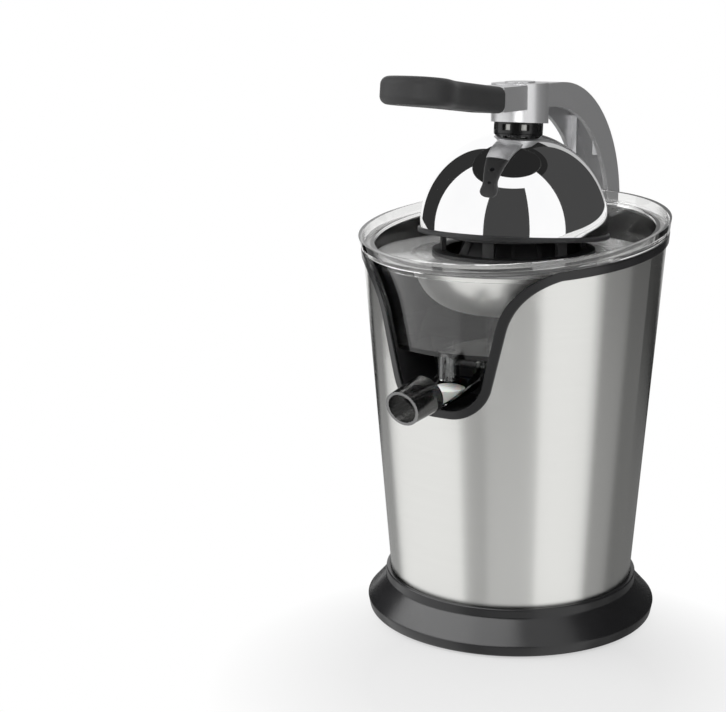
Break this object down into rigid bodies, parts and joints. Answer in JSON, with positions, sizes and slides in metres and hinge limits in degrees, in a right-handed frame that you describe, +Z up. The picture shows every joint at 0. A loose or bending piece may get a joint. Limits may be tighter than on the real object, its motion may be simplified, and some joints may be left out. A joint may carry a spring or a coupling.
{
  "type": "citrus press juicer",
  "caption": "Electric citrus press: tapered steel body, smoked juice tank with tilting drip-stop spout, and a lever arm that lowers a chrome dome over a spinning reamer cone.",
  "frame": {"origin": "on the drive axis, level with the surface that the feet stand on", "axes": "+Z up, spout and lever grip towards -Y, lever hinge at +Y, +X to the right seen from the front"},
  "size_m": [0.186, 0.2452, 0.3321],
  "materials": {
    "black_gloss": "glossy black moulding",
    "black_matte": "satin black moulding",
    "brushed_steel": "vertical brushed stainless",
    "bright_steel": "bright stainless",
    "smoked_clear": "smoked clear moulding",
    "clear": "clear moulding",
    "smoked_dark": "dark smoked moulding",
    "white_silicone": "soft translucent white",
    "silver_paint": "satin silver casting",
    "soft_grip": "soft-touch black",
    "chrome": "mirror polished",
    "black_rubber": "soft black",
    "zinc_steel": "zinc-plated steel",
    "acetal": "natural white acetal",
    "bronze": "sintered bronze",
    "lamination": "steel laminations",
    "cast_bracket": "cast motor bracket",
    "grey_plastic": "grey glass-filled moulding"
  },
  "bodies": {
    "housing": {"base_ring": "black_gloss", "base_plate": "black_matte", "base_screws": "zinc_steel", "rubber_feet": "black_rubber", "cord_gland": "black_rubber", "housing_shell": "brushed_steel", "trim_rim": "black_gloss", "liner": "black_matte", "shaft_seal": "black_rubber", "juice_tank": "smoked_clear", "outlet_tube": "clear", "spout_lugs": "smoked_clear", "spout_pin": "black_matte", "strainer_flange": "smoked_clear", "strainer_cage": "black_matte", "cage_posts": "black_matte", "cage_ring": "black_matte", "strainer_bowl": "bright_steel", "micro_switch": "grey_plastic", "idler_axle": "zinc_steel", "gearbox_tray": "grey_plastic", "gearbox_cover": "grey_plastic", "output_bush": "bronze", "gearbox_screws": "zinc_steel", "cover_screws": "zinc_steel", "motor_stator": "lamination", "motor_top_bracket": "cast_bracket", "motor_low_bracket": "cast_bracket", "motor_bushes": "bronze", "motor_screws": "zinc_steel", "hinge_pin": "bright_steel", "hinge_block": "black_matte", "hinge_screws": "zinc_steel"},
    "lever": {"lever_arm": "silver_paint", "lever_grip": "soft_grip", "grip_screws": "zinc_steel", "boss_cap": "silver_paint", "press_dome": "chrome", "dome_liner": "black_matte", "dome_collar": "black_gloss", "dome_bolt": "zinc_steel"},
    "spout": {"spout": "smoked_dark", "drip_stop": "white_silicone"},
    "output": {"output_gear": "acetal", "hub_circlip": "zinc_steel", "return_spring": "zinc_steel"},
    "shaft": {"drive_shaft": "bright_steel", "shaft_circlip": "zinc_steel", "reamer_cone": "black_matte"},
    "idler": {"idler_gear": "acetal"},
    "rotor": {"motor_rotor": "zinc_steel", "motor_pinion": "bronze", "motor_fan": "grey_plastic"},
    "plunger": {"switch_plunger": "acetal"}
  },
  "joints": [
    {"name": "lever_hinge", "type": "hinge", "parent": "housing", "child": "lever", "pos_m": [0, 0.109, 0.226], "axis": [-1, 0, 0], "range_deg": [0, 82]},
    {"name": "spout_tilt", "type": "hinge", "parent": "housing", "child": "spout", "pos_m": [0, -0.052, 0.1645], "axis": [-1, 0, 0], "range_deg": [0, 8]},
    {"name": "cone_spin", "type": "hinge", "parent": "housing", "child": "output", "pos_m": [0, 0, 0.13], "axis": [0, 0, 1], "continuous": true},
    {"name": "cone_press", "type": "slide", "parent": "output", "child": "shaft", "axis": [0, 0, -1], "range_m": [0, 0.003], "stiffness_N_per_m": 2000, "springref_m": -0.004, "deforming": ["return_spring"]},
    {"name": "idler_spin", "type": "hinge", "parent": "housing", "child": "idler", "pos_m": [0.03182, 0.03182, 0.117], "axis": [0, 0, 1], "continuous": true},
    {"name": "motor_spin", "type": "hinge", "parent": "housing", "child": "rotor", "pos_m": [-0.00265, 0.02574, 0.06], "axis": [0, 0, 1], "continuous": true},
    {"name": "switch_press", "type": "slide", "parent": "housing", "child": "plunger", "axis": [0, 0, -1], "range_m": [0, 0.003]}
  ],
  "couplings": [
    {"joint": "idler_spin", "follows": "cone_spin", "ratio": -3},
    {"joint": "motor_spin", "follows": "cone_spin", "ratio": 9},
    {"joint": "switch_press", "follows": "cone_press", "ratio": 1}
  ]
}
